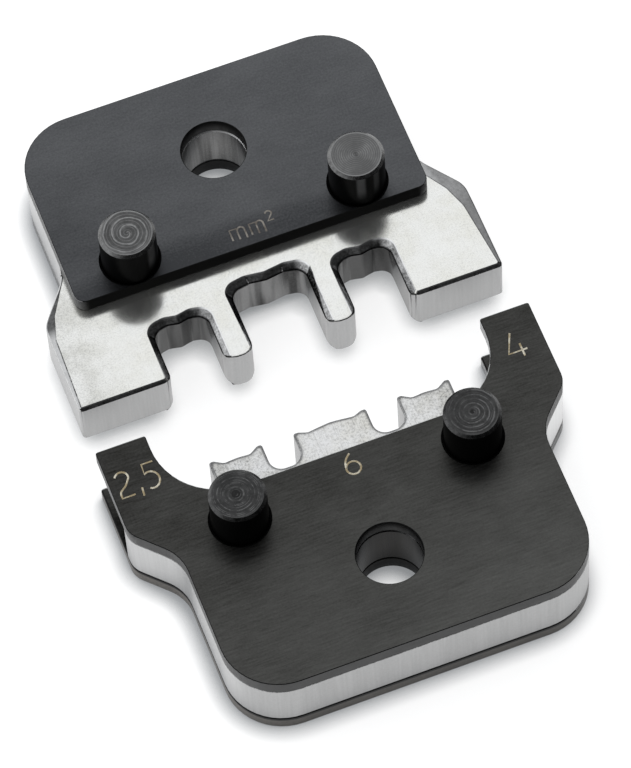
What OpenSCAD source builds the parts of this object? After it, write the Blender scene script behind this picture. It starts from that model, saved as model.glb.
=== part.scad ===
// Crimp die insert: a nest die and a punch die for 2.5, 4 and 6 mm2 contacts.
// Both halves lie flat with their pins up. X runs across the dies, Y is the closing direction
// and Z is up. The origin is under the middle of the open pair, on the face that it rests on.
// Lengths along a half are measured forwards from its screw hole, towards the other half.

/* [Sandwich] */
// Thickness of each side plate of the punch half
plate_t = 1.45; // [1:0.05:2]
// Thickness of the punch block, which is also the height of the slots between the ears
punch_block_t = 5.1; // [4:0.1:7]
// Gap between the nest block and each ear that it slides between
guide_gap = 0.05; // [0.02:0.01:0.1]

/* [Screw hole and dowel pins] */
// Diameter of the hole for the tool's screw
screw_hole_d = 5.8; // [4:0.1:7]
// Chamfer at each mouth of the screw hole in a die block
hole_chamfer = 0.25; // [0.1:0.05:0.4]
// Diameter of the dowel pins
pin_d = 5; // [3:0.1:5.6]
// Distance between the two pins of a half
pin_spacing = 21.2; // [17:0.2:22.4]
// Distance from the screw hole forwards to the line of the pins
pin_setback = 7.75; // [7:0.05:8.4]
// How far a pin stands out of the side plate
pin_projection = 4.4; // [2:0.1:8]
// Chamfer at both ends of a pin
pin_chamfer = 0.25; // [0.1:0.05:0.6]
// Depth of the groove round a pin where it leaves the side plate
root_groove_depth = 0.2; // [0.16:0.02:0.4]
// Height of that groove
root_groove_h = 0.6; // [0.5:0.05:0.8]
// How far it reaches above the face of the side plate
root_groove_rise = 0.15; // [0.05:0.05:0.3]
// Countersink of the pin holes in the outer face of a side plate
pin_countersink = 0.25; // [0.1:0.05:0.4]
// How far a pin's foot stays back from the resting face
pin_recess = 0.15; // [0.05:0.05:0.4]

/* [Shared outline] */
// Width of both halves behind the shoulders
tang_w = 32.8; // [31:0.1:34]
// Radius of the rear corners
rear_corner_r = 5.2; // [3:0.1:6.5]
// Distance from the screw hole to where the shoulders leave the tang
shoulder_start = 6.3; // [5.8:0.1:6.8]
// Radius of the hollow at the foot of a shoulder
shoulder_hollow_r = 4; // [2:0.1:5]
// Radius of the rounded top of a shoulder
shoulder_round_r = 2; // [1:0.1:2.4]

/* [Nest half] */
// Distance from the screw hole back to the rear edge of the nest half
nest_rear = 8; // [7:0.1:9]
// Wall between a pin and the front edge of the nest half's side plates
nest_plate_wall = 0.15; // [0.1:0.05:0.6]
// Radius of the front corners of its side plates
nest_plate_corner_r = 1; // [0.4:0.1:1.4]
// How far the nest block stands out in front of its side plates
nest_reach = 9.2; // [8.6:0.1:10]
// Width over the two corner blocks of the nest block
nest_block_w = 39.2; // [38:0.1:39.6]
// Distance from the screw hole to where its shoulders reach full width
nest_shoulder_end = 10.4; // [9.8:0.1:10.8]
// Radius of the outer front corners of the nest block
nest_corner_r = 0.35; // [0.1:0.05:0.8]
// Radius where a corner block meets its nest, and in the foot of the punch that passes it
nest_mouth_r = 0.8; // [0.4:0.1:1]
// Radius of the finger tips, and of the gullets that they enter
finger_tip_r = 1.15; // [0.7:0.05:1.2]
// Bevel along the working face of the corner blocks
face_bevel = 0.3; // [0.1:0.05:0.5]

/* [Nests] */
// Distance from the middle nest to each outer nest
nest_pitch = 8.6; // [8.5:0.05:8.9]
// Width of the 2.5 mm2 nest
small_nest_w = 4.95; // [4.6:0.05:5.1]
// Width of the 4 mm2 nest
medium_nest_w = 4.95; // [4.6:0.05:5.1]
// Width of the 6 mm2 nest
large_nest_w = 6.8; // [6.4:0.05:6.95]
// Depth of the 2.5 mm2 nest
small_nest_depth = 5.4; // [5:0.05:6]
// Depth of the 4 mm2 nest
medium_nest_depth = 6; // [5.4:0.05:6.6]
// Depth of the 6 mm2 nest
large_nest_depth = 6.7; // [6:0.05:7.2]
// Distance between the two lobes in the roof of the outer nests
outer_lobe_spacing = 1.95; // [1.4:0.05:2.2]
// Distance between the two lobes in the roof of the middle nest
middle_lobe_spacing = 3.2; // [2.4:0.05:3.6]
// Height of the ridge between the lobes
ridge_h = 0.22; // [0.1:0.01:0.4]
// How much lower the roof is at the sides of a nest than at its lobes
roof_fall = 0.3; // [0.1:0.05:0.5]
// Radius between a side of a nest and its roof
roof_corner_r = 1.1; // [0.6:0.05:1.2]
// Radius of the lobes
lobe_r = 1.2; // [0.6:0.1:1.4]
// Radius of the ridge between the lobes
ridge_r = 0.6; // [0.2:0.1:1]
// Width of the bell mouth along the sides of a nest
bell_side = 0.55; // [0.2:0.05:0.6]
// Width of the bell mouth along the roof of a nest
bell_roof = 0.7; // [0.3:0.05:0.9]
// Depth of the bell mouth into each face of the block
bell_depth = 0.5; // [0.2:0.05:0.9]

/* [Ground flats beside the nests] */
// Slope of the flats below the top face
flat_slope = 20; // [10:1:40]
// Length cut from each of the two flats' inner edges by the facet between them
flat_facet_l = 1.2; // [0.6:0.1:1.6]
// Width of the right flat where it starts on the shoulder
right_flat_start_w = 1.05; // [0.5:0.05:1.3]
// Width of the right flat at the top of the shoulder
right_flat_corner_w = 1.15; // [0.8:0.05:1.5]
// Width of the right flat at the working face
right_flat_front_w = 0.3; // [0.2:0.05:0.6]
// Width of the left flat where it starts on the shoulder
left_flat_start_w = 0.05; // [0.05:0.05:0.4]
// Width of the left flat at the top of the shoulder
left_flat_corner_w = 0.55; // [0.3:0.05:0.9]
// Width of the left flat at the working face
left_flat_front_w = 0.3; // [0.15:0.05:0.5]

/* [Punch half] */
// Distance from the screw hole back to the rear edge of the punch half
punch_rear = 8.45; // [7.5:0.05:9]
// Wall between a pin and the front edge of the punch half's side plates
punch_plate_wall = 0.5; // [0.2:0.05:0.7]
// How far the stop faces and the gullet floors stand in front of its side plates
stop_reach = 0.95; // [0.6:0.05:1.4]
// Width over the two ears
ears_w = 39.8; // [39.6:0.1:41]
// Distance from the screw hole to where its shoulders reach full width
punch_shoulder_end = 9.95; // [9.4:0.05:10.1]
// Width of an ear
ear_w = 4.55; // [4:0.05:5]
// How far the ears stand out in front of the stop faces
ear_reach = 6.65; // [6:0.05:7.4]
// Radius of the hollow between an ear and the front edge
ear_hollow_r = 6.2; // [4:0.1:6.3]
// Radius of the corners at the ends of the ears
ear_tip_r = 0.2; // [0.1:0.05:0.5]
// Radius of the corners at the outer ends of the stop faces
stop_corner_r = 0.5; // [0.2:0.1:1]

/* [Punches] */
// Gap between a punch and each side of its nest
punch_gap = 0.05; // [0.02:0.01:0.1]
// Height of the outer punches above the stop faces, in the hollows beside the crown
outer_punch_h = 2.4; // [2:0.05:3]
// Height of the middle punch above the stop faces, in the hollows beside the crown
middle_punch_h = 2.55; // [2:0.05:3]
// Height of the horns at the edges of the outer punches
outer_horn_h = 0.5; // [0.2:0.02:0.7]
// Height of the horns at the edges of the middle punch
middle_horn_h = 0.3; // [0.2:0.02:0.7]
// Height of the crown between the horns of the outer punches
outer_crown_h = 0.1; // [0.04:0.02:0.2]
// Height of the crown between the horns of the middle punch
middle_crown_h = 0.24; // [0.04:0.02:0.3]
// Width of a horn at its tip
horn_tip_w = 0.45; // [0.42:0.01:0.6]
// Width of a horn at its foot
horn_foot_w = 1.25; // [1.1:0.05:1.4]
// Radius of the outer corner of a horn
horn_tip_r = 0.2; // [0.1:0.02:0.24]
// Radius of the hollow between a horn and the crown
horn_foot_r = 0.6; // [0.2:0.1:0.8]
// Radius of the crown
crown_r = 4; // [2:0.5:6]

/* [Open pair] */
// How far the working face and the stop faces stand apart with the dies open
opening = 11.8; // [8:0.1:20]

/* [Hidden] */
ground_steel = "#c8cac8";
blackened_steel = "#4a4c4d";
pin_black = "#2b2c2e";
$fn = 64;
// Step of the arcs in an outline, in degrees
arc_step = 7.5;
// How far a cutting shape reaches past what it cuts
past = 1;
// How far a bell mouth's cutting shape reaches past the face, at the same slope
bell_past = 0.1;

// The nest block is thinner than the punch block by its two guide gaps, which its plates make up for
nest_plate_t = plate_t + guide_gap;
nest_block_t = punch_block_t - 2 * guide_gap;
stack_t = 2 * plate_t + punch_block_t;

// Distances forwards from the screw hole of each half
nest_plate_front = pin_setback + pin_d / 2 + nest_plate_wall;
nest_face = nest_plate_front + nest_reach;
punch_plate_front = pin_setback + pin_d / 2 + punch_plate_wall;
stop_face = punch_plate_front + stop_reach;
ear_front = stop_face + ear_reach;

// Places of the two screw holes, with the middle of the open pair at y = 0
hole_distance = nest_face + stop_face + opening;
overall_l = nest_rear + hole_distance + punch_rear;
nest_hole_y = overall_l / 2 - nest_rear;
punch_hole_y = punch_rear - overall_l / 2;

// One row for each nest, from right to left: middle, width, depth, lobe spacing
nests = [
    [nest_pitch, medium_nest_w, medium_nest_depth, outer_lobe_spacing],
    [0, large_nest_w, large_nest_depth, middle_lobe_spacing],
    [-nest_pitch, small_nest_w, small_nest_depth, outer_lobe_spacing]
];
// One row for each punch, from right to left: middle, width, height, horn height, crown height
punches = [
    [nest_pitch, medium_nest_w - 2 * punch_gap, outer_punch_h, outer_horn_h, outer_crown_h],
    [0, large_nest_w - 2 * punch_gap, middle_punch_h, middle_horn_h, middle_crown_h],
    [-nest_pitch, small_nest_w - 2 * punch_gap, outer_punch_h, outer_horn_h, outer_crown_h]
];

// An outline is a list of corners [x, y, radius]. These functions turn it into points, with each
// corner that has a radius drawn as an arc.
function flat(corner) = [corner.x, corner.y];
function unit(v) = v / norm(v);
function arc(before, at, after, r) =
    let (
        u = unit(before - at),
        v = unit(after - at),
        half_angle = acos(u * v) / 2,
        centre = at + unit(u + v) * r / sin(half_angle),
        first = at + u * r / tan(half_angle) - centre,
        last = at + v * r / tan(half_angle) - centre,
        start = atan2(first.y, first.x),
        swing = (atan2(last.y, last.x) - start + 540) % 360 - 180,
        steps = max(2, ceil(abs(swing) / arc_step))
    )
    [for (i = [0:steps]) centre + r * [cos(start + swing * i / steps), sin(start + swing * i / steps)]];
function rounded(corners) =
    let (n = len(corners))
    [for (i = [0:n - 1])
        each corners[i][2] == 0
            ? [flat(corners[i])]
            : arc(flat(corners[(i + n - 1) % n]), flat(corners[i]), flat(corners[(i + 1) % n]), corners[i][2])];

// The mirror image of some corners, in the opposite order, and a whole run of corners from its right half
function opposite(corners) = [for (i = [len(corners) - 1:-1:0]) [-corners[i].x, corners[i].y, corners[i][2]]];
function symmetric(right, middle = []) = concat(right, middle, opposite(right));
// Corners moved to another place
function moved(corners, x, y) = [for (c = corners) [c.x + x, c.y + y, c[2]]];

// The right-hand corners behind the front of a half, from the rear edge forwards
function tang_corner(rear) = [tang_w / 2, -rear, rear_corner_r];
function side_corners(rear, full_w, shoulder_end) = [
    tang_corner(rear),
    [tang_w / 2, shoulder_start, shoulder_hollow_r],
    [full_w / 2, shoulder_end, shoulder_round_r]
];

// Radius of a corner of the working face or of the stop faces, beside a corner block or a finger
function foot_r(beside_corner_block) = beside_corner_block ? nest_mouth_r : finger_tip_r;

// Roof of a nest with its mouth at y = 0, from right to left: two lobes with a ridge between them
function nest_roof(n) = symmetric([
    [n[1] / 2, roof_fall - n[2], roof_corner_r],
    [n[3] / 2, -n[2], lobe_r]
], [[0, ridge_h - n[2], ridge_r]]);

// A nest in the nest block's outline, from its right mouth corner to its left one
function nest_corners(n) = moved(concat(
    [[n[1] / 2, 0, foot_r(n[0] > 0)]],
    nest_roof(n),
    [[-n[1] / 2, 0, foot_r(n[0] < 0)]]
), n[0], nest_face);

// A punch in the punch block's outline, from its right foot to its left one
function punch_corners(p) =
    let (horn_y = p[2] + p[3])
    moved(concat(
        [[p[1] / 2, 0, foot_r(p[0] > 0)]],
        symmetric([
            [p[1] / 2, horn_y, horn_tip_r],
            [p[1] / 2 - horn_tip_w, horn_y, horn_tip_r],
            [p[1] / 2 - horn_foot_w, p[2], horn_foot_r]
        ], [[0, p[2] + p[4], crown_r]]),
        [[-p[1] / 2, 0, foot_r(p[0] < 0)]]
    ), p[0], stop_face);

function nest_block_outline() =
    let (side = concat(
        side_corners(nest_rear, nest_block_w, nest_shoulder_end),
        [[nest_block_w / 2, nest_face, nest_corner_r]]
    ))
    rounded(concat(side, [for (n = nests) each nest_corners(n)], opposite(side)));
function punch_block_outline() =
    let (side = concat(
        side_corners(punch_rear, ears_w, punch_shoulder_end),
        [[ears_w / 2, stop_face, stop_corner_r]]
    ))
    rounded(concat(side, [for (p = punches) each punch_corners(p)], opposite(side)));

// What is drawn for one face of a block of thickness t, at z = 0 and downwards, on both of its faces
module on_both_faces(t) {
    translate([0, 0, t])
        children();
    mirror([0, 0, 1])
        children();
}

module at_pins(side) {
    translate([side * pin_spacing / 2, pin_setback, 0])
        children();
}

// The screw hole and the two pin holes through a piece of thickness t
module holes(t) {
    translate([0, 0, -past]) {
        cylinder(d = screw_hole_d, h = t + 2 * past);
        for (side = [-1, 1])
            at_pins(side)
                cylinder(d = pin_d, h = t + 2 * past);
    }
}

// What a chamfer takes from the mouth of a hole in a face at z = 0
module mouth_chamfer(d, chamfer) {
    translate([0, 0, -chamfer])
        cylinder(d1 = d, d2 = d + 4 * chamfer, h = 2 * chamfer);
}

// A side plate with its outer face up
module side_plate(right_corners, t) {
    color(blackened_steel)
        difference() {
            linear_extrude(height = t)
                polygon(rounded(symmetric(right_corners)));
            holes(t);
            for (side = [-1, 1])
                at_pins(side)
                    translate([0, 0, t])
                        mouth_chamfer(pin_d, pin_countersink);
        }
}

module nest_side_plate() {
    side_plate([
        tang_corner(nest_rear),
        [tang_w / 2, nest_plate_front, nest_plate_corner_r]
    ], nest_plate_t);
}

module punch_side_plate() {
    ear_inside = ears_w / 2 - ear_w;
    side_plate(concat(side_corners(punch_rear, ears_w, punch_shoulder_end), [
        [ears_w / 2, ear_front, ear_tip_r],
        [ear_inside, ear_front, ear_tip_r],
        [ear_inside, punch_plate_front, ear_hollow_r]
    ]), plate_t);
}

// The bell mouth of a nest at the top face, as the nest's own shape flaring from its depth upwards
module bell_mouth(n) {
    flare = (bell_depth + bell_past) / bell_depth;
    open_nest = rounded(concat(
        [[-n[1] / 2, past, 0], [n[1] / 2, past, 0]],
        nest_roof(n)
    ));
    translate([n[0], nest_face, -bell_depth])
        linear_extrude(
            height = bell_depth + bell_past,
            slices = 1,
            scale = [1 + flare * 2 * bell_side / n[1], 1 + flare * bell_roof / n[2]]
        )
            polygon(open_nest);
}

// Bevel along the top edge of the working face, from one x to another
module face_bevel_cut(from_x, to_x) {
    side = face_bevel * sqrt(2);
    translate([from_x, nest_face, nest_block_t])
        rotate([45, 0, 0])
            translate([0, -side / 2, -side / 2])
                cube([to_x - from_x, side, side]);
}

// A flat ground on the right of the top face. It falls away outwards from the line through two points,
// and the cutting shape starts the given reach behind the rear one.
module flat_cut(rear_point, front_point, reach) {
    run = front_point - rear_point;
    translate([rear_point.x, rear_point.y, nest_block_t])
        rotate([0, 0, atan2(run.y, run.x)])
            rotate([flat_slope, 0, 0])
                translate([-reach, -nest_block_w, 0])
                    cube([norm(run) + reach + past, nest_block_w, nest_block_t]);
}

// The flats on one side: along the shoulder, along the side up to the working face, and a facet between them
module ground_flats(start_w, corner_w, front_w) {
    shoulder_foot = [tang_w / 2, shoulder_start];
    shoulder_top = [nest_block_w / 2, nest_shoulder_end];
    inwards = unit([shoulder_foot.y - shoulder_top.y, shoulder_top.x - shoulder_foot.x]);
    start = shoulder_foot + inwards * start_w;
    corner = shoulder_top + [-corner_w, corner_w];
    front = [nest_block_w / 2 - front_w, nest_face];
    flat_cut(start, corner, 0);
    flat_cut(corner, front, past);
    flat_cut(corner + unit(start - corner) * flat_facet_l, corner + unit(front - corner) * flat_facet_l, past);
}

module nest_block() {
    color(ground_steel)
        difference() {
            linear_extrude(height = nest_block_t)
                polygon(nest_block_outline());
            holes(nest_block_t);
            on_both_faces(nest_block_t) {
                mouth_chamfer(screw_hole_d, hole_chamfer);
                for (n = nests)
                    bell_mouth(n);
            }
            face_bevel_cut(nest_pitch + medium_nest_w / 2, nest_block_w / 2 + past);
            face_bevel_cut(-nest_block_w / 2 - past, -nest_pitch - small_nest_w / 2);
            ground_flats(right_flat_start_w, right_flat_corner_w, right_flat_front_w);
            mirror([1, 0, 0])
                ground_flats(left_flat_start_w, left_flat_corner_w, left_flat_front_w);
        }
}

module punch_block() {
    color(ground_steel)
        difference() {
            linear_extrude(height = punch_block_t)
                polygon(punch_block_outline());
            holes(punch_block_t);
            on_both_faces(punch_block_t)
                mouth_chamfer(screw_hole_d, hole_chamfer);
        }
}

module dowel_pin(side) {
    pin_r = pin_d / 2;
    groove_r = pin_r - root_groove_depth;
    groove_top = stack_t + root_groove_rise;
    top = stack_t + pin_projection;
    color(pin_black)
        at_pins(side)
            rotate_extrude()
                polygon([
                    [0, pin_recess],
                    [pin_r - pin_chamfer, pin_recess],
                    [pin_r, pin_recess + pin_chamfer],
                    [pin_r, groove_top - root_groove_h],
                    [groove_r, groove_top - root_groove_h],
                    [groove_r, groove_top],
                    [pin_r, groove_top],
                    [pin_r, top - pin_chamfer],
                    [pin_r - pin_chamfer, top],
                    [0, top]
                ]);
}

// The nest half works towards -Y and the punch half towards +Y
module in_nest_half(z) {
    translate([0, nest_hole_y, z])
        mirror([0, 1, 0])
            children();
}

module in_punch_half(z) {
    translate([0, punch_hole_y, z])
        children();
}

module outer_face_down() {
    mirror([0, 0, 1])
        children();
}

module upper_die_block() {
    in_nest_half(nest_plate_t)
        nest_block();
}

module upper_top_plate() {
    in_nest_half(stack_t - nest_plate_t)
        nest_side_plate();
}

module upper_bottom_plate() {
    in_nest_half(nest_plate_t)
        outer_face_down()
            nest_side_plate();
}

module upper_pin_left() {
    in_nest_half(0)
        dowel_pin(-1);
}

module upper_pin_right() {
    in_nest_half(0)
        dowel_pin(1);
}

module lower_die_block() {
    in_punch_half(plate_t)
        punch_block();
}

module lower_top_plate() {
    in_punch_half(stack_t - plate_t)
        punch_side_plate();
}

module lower_bottom_plate() {
    in_punch_half(plate_t)
        outer_face_down()
            punch_side_plate();
}

module lower_pin_left() {
    in_punch_half(0)
        dowel_pin(-1);
}

module lower_pin_right() {
    in_punch_half(0)
        dowel_pin(1);
}

upper_die_block();
upper_top_plate();
upper_bottom_plate();
upper_pin_left();
upper_pin_right();
lower_die_block();
lower_top_plate();
lower_bottom_plate();
lower_pin_left();
lower_pin_right();
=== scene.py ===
import math

import bmesh
import bpy
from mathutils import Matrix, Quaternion, Vector
from mathutils.bvhtree import BVHTree


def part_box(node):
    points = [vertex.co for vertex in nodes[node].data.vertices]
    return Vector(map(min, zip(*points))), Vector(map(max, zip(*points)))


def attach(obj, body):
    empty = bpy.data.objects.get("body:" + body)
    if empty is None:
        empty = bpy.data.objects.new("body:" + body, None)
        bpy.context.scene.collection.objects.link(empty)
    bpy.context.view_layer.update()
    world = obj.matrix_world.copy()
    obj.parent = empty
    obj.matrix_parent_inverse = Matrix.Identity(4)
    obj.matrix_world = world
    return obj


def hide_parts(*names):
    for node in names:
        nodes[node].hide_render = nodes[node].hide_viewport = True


# Crimp die insert: an open pair of dies on a white table. Lengths are worked out in millimetres.
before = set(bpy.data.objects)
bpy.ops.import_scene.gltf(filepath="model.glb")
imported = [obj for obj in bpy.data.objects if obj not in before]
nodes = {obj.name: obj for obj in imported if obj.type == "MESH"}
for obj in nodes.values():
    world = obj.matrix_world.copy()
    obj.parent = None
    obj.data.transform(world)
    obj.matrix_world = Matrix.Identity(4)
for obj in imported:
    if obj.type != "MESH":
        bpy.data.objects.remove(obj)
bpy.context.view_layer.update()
mm = 0.001
bodies = {"upper": "nest_half", "lower": "punch_half"}


class Signal:
    # A socket that can stand in a sum, which adds its Math nodes
    def __init__(self, graph, socket):
        self.graph = graph
        self.socket = socket

    def maths(self, operation, first, second=0.0):
        return self.graph.add("ShaderNodeMath", {"operation": operation}, {0: first, 1: second})

    def __add__(self, other):
        return self.maths("ADD", self, other)

    def __sub__(self, other):
        return self.maths("SUBTRACT", self, other)

    def __rsub__(self, other):
        return self.maths("SUBTRACT", other, self)

    def __mul__(self, other):
        return self.maths("MULTIPLY", self, other)

    def __truediv__(self, other):
        return self.maths("DIVIDE", self, other)

    def __rtruediv__(self, other):
        return self.maths("DIVIDE", other, self)

    def __pow__(self, other):
        return self.maths("POWER", self, other)

    __radd__ = __add__
    __rmul__ = __mul__

    def sine(self):
        return self.maths("SINE", self)

    def cosine(self):
        return self.maths("COSINE", self)

    def fraction(self):
        return self.maths("FRACT", self)

    def larger(self, other):
        return self.maths("MAXIMUM", self, other)

    def angleTo(self, other):
        return self.maths("ARCTAN2", self, other)

    # 0 below low and 1 above high, with a soft step between, or the other way round
    def step(self, low, high):
        flip = low > high
        return self.graph.add("ShaderNodeMapRange", {"interpolation_type": "SMOOTHSTEP"}, {
            "Value": self, "From Min": min(low, high), "From Max": max(low, high),
            "To Min": float(flip), "To Max": float(not flip)})


class Graph:
    def __init__(self, tree):
        self.tree = tree

    # Any node: its settings come first, then the values or links of its sockets
    def add(self, kind, settings=None, sockets=None, out=0):
        node = self.tree.nodes.new(kind)
        for name, value in (settings or {}).items():
            setattr(node, name, value)
        for name, value in (sockets or {}).items():
            if isinstance(value, Signal):
                self.tree.links.new(value.socket, node.inputs[name])
            else:
                node.inputs[name].default_value = value
        return Signal(self, node.outputs[out]) if node.outputs else None

    def other(self, signal, name):
        return Signal(self, signal.socket.node.outputs[name])

    def split(self, vector):
        made = self.add("ShaderNodeSeparateXYZ", None, {0: vector})
        return [self.other(made, axis) for axis in "XYZ"]

    def joined(self, x, y, z):
        return self.add("ShaderNodeCombineXYZ", None, {0: x, 1: y, 2: z})

    def together(self, parts):
        node = self.tree.nodes.new("GeometryNodeJoinGeometry")
        for part in parts:
            self.tree.links.new(part.socket, node.inputs[0])
        return Signal(self, node.outputs[0])

    # 6 and 7 are the Mix node's colours, and its output 2 is the mixed one
    def mixed(self, share, first, second):
        first, second = (c if isinstance(c, Signal) else (*c, 1) for c in (first, second))
        return self.add("ShaderNodeMix", {"data_type": "RGBA"}, {"Factor": share, 6: first, 7: second}, 2)

    # Object coordinates in millimetres, pulled out along an axis for streaks
    def place(self, stretch=(1, 1, 1)):
        spot = self.add("ShaderNodeTexCoord", None, None, "Object")
        scale = tuple(1 / mm / s for s in stretch)
        return self.add("ShaderNodeVectorMath", {"operation": "MULTIPLY"}, {0: spot, 1: scale})

    def noise(self, spot, scale, detail=3.0, roughness=0.55, distortion=0.0):
        sockets = {"Vector": spot, "Scale": scale, "Detail": detail, "Roughness": roughness, "Distortion": distortion}
        return self.add("ShaderNodeTexNoise", None, sockets, "Fac")


def grey(value):
    # Linear colour of a grey, or of a colour, as it reads on the screen from 0 to 255
    parts = value if isinstance(value, tuple) else (value,) * 3
    return tuple(((p / 255 + 0.055) / 1.055) ** 2.4 if p > 10 else p / 255 / 12.92 for p in parts)


def newMaterial(name):
    material = bpy.data.materials.new(name)
    material.use_nodes = True
    material.node_tree.nodes.clear()
    return material, Graph(material.node_tree)


# The values in fixed are the same all over. Depth is that of the bump, in millimetres.
def finishMaterial(graph, fixed, colour, roughness, height, depth):
    bump = graph.add("ShaderNodeBump", None, {"Strength": 1.0, "Distance": depth * mm, "Height": height})
    shader = graph.add("ShaderNodeBsdfPrincipled", None, {
        "Base Color": colour, "Roughness": roughness, "Normal": bump, **fixed})
    graph.add("ShaderNodeOutputMaterial", None, {"Surface": shader})


# Ground faces of the die blocks: bright, with speckle, grinding lines and a warm stain, duller towards the sides.
# fade is (middle, start, end, share) along x, and rim (reach, share) the painted shade in from the edges.
groundLooks = {
    "upperGround": {
        "metal": 0.9, "bright": grey((243, 243, 240)), "warm": grey((236, 235, 227)), "dull": grey(140),
        "roughness": (0.12, 0.2), "grain": 6.5, "speckle": 0.26, "lines": 0.08,
        "fade": (8.0, 21.0, 28.5, 0.24), "rim": (0.25, 0.2), "depth": 0.0012,
    },
    "lowerGround": {
        "metal": 1.0, "bright": grey(229), "warm": grey((218, 216, 208)), "dull": grey(104),
        "roughness": (0.14, 0.24), "grain": 5.0, "speckle": 0.62, "lines": 0.34,
        "fade": (2.0, 2.0, 12.0, 0.22), "rim": (0.42, 0.95), "depth": 0.0016,
    },
}
# The colour of the painted shade along the ground faces' edges
paintedEdgeShade = grey(104)


def groundSteel(name, look):
    material, g = newMaterial(name)
    spot = g.place()
    x = g.split(spot)[0]
    lines = g.noise(g.place((0.14, 3.5, 1)), 1.0, 3.0, 0.65)
    cloud = g.noise(spot, 0.3, 4.0, 0.62)
    grain = g.noise(spot, look["grain"], 3.0, 0.75)
    middle, start, end, most = look["fade"]
    aside = ((x - middle) * (x - middle)) ** 0.5
    patchy = 0.2 + grain.step(0.35, 0.7) * 0.8 + cloud.step(0.38, 0.62)
    worn = grain.step(0.4, 0.8) * look["speckle"] * (0.6 + 0.4 * cloud.step(0.36, 0.6))
    worn = worn + lines.step(0.5, 0.8) * look["lines"] + aside.step(start, end) * patchy * most
    stainAndShade = g.mixed(cloud.step(0.3, 0.8), look["bright"], look["warm"])
    colour = g.mixed(worn, stainAndShade, look["dull"])
    # A soft line of painted shade runs along the edges, where ambient occlusion inside the block finds them
    reach, edgeShadeShare = look["rim"]
    within = {"samples": 8, "inside": True, "only_local": True}
    inside = g.other(g.add("ShaderNodeAmbientOcclusion", within, {"Distance": reach * mm}), "AO")
    colour = g.mixed(inside.step(0.92, 0.74) * edgeShadeShare, colour, paintedEdgeShade)
    low, high = look["roughness"]
    roughness = low + (high - low) * cloud.step(0.3, 0.75) + worn * 0.16
    finishMaterial(g, {"Metallic": look["metal"]}, colour, roughness, lines * 0.4 + grain * 0.6, look["depth"])
    return material


# Walls cut by wire: faint upright streaks, and broad soft bands where they are dark. bands and grain are shares,
# and sides is how much darker the outer nests are. The first look also takes a paler tone on the punch half's right
# shoulder and a painted highlight on the left walls; its numbers give where these come up along x and y, in
# millimetres.
cutLooks = {
    "cutWall": {
        "bright": grey(182), "dull": grey(163), "bands": 0.35, "grain": 0.35, "roughness": (0.32, 0.4),
        "polish": {
            "tone": grey(236), "right": (13.5, 14.5), "from": (-19.0, -13.0), "to": (0.0, -3.0),
            "left": (-15.0, -16.3), "away": (10.0, 12.0), "faint": 0.3,
        },
        "depth": 0.0005,
    },
    # The nests' walls: a darker copy of the wall steel, as painted shade
    "shadedNestWall": {
        "bright": grey(126), "dull": grey(26), "bands": 0.82, "grain": 0.15, "roughness": (0.14, 0.24),
        "sides": 0.6, "depth": 0.0008,
    },
    "nestBore": {
        "bright": grey(140), "dull": grey(70), "bands": 0.5, "grain": 0.2, "roughness": (0.24, 0.36), "depth": 0.0012,
    },
    "punchBore": {
        "bright": grey((25, 23, 20)), "dull": grey((4, 3, 3)), "bands": 0.3, "grain": 0.1,
        "roughness": (0.26, 0.36), "depth": 0.0015,
    },
}


def cutSteel(name, look):
    material, g = newMaterial(name)
    streak = g.noise(g.place((0.2, 0.2, 9)), 1.0, 3.0, 0.6)
    wide = g.noise(g.place((1.5, 1.5, 14)), 1.0, 2.0)
    grain = g.noise(g.place(), 6.0, 3.0, 0.7)
    thin = 1 - look["bands"] - look["grain"]
    share = streak.step(0.3, 0.7) * thin + wide.step(0.36, 0.62) * look["bands"] + grain.step(0.3, 0.7) * look["grain"]
    x, y = g.split(g.place())[:2]
    if "sides" in look:
        share = share * (1 - look["sides"] * (x * x).step(9.0, 36.0))
    colour = g.mixed(share, look["dull"], look["bright"])
    if "polish" in look:
        # A paler tone on the punch half's right shoulder, and a painted highlight on the left walls
        lighten = look["polish"]
        shoulder = x.step(*lighten["right"]) * y.step(*lighten["from"]) * y.step(*lighten["to"])
        left = x.step(*lighten["left"]) * (y * y).step(*(far * far for far in lighten["away"]))
        colour = g.mixed((shoulder + left * lighten["faint"]) * (0.7 + 0.3 * streak), colour, lighten["tone"])
    low, high = look["roughness"]
    roughness = low + (high - low) * wide.step(0.25, 0.75)
    finishMaterial(g, {"Metallic": 1.0}, colour, roughness, streak * 0.6 + grain * 0.4, look["depth"])
    return material


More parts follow.
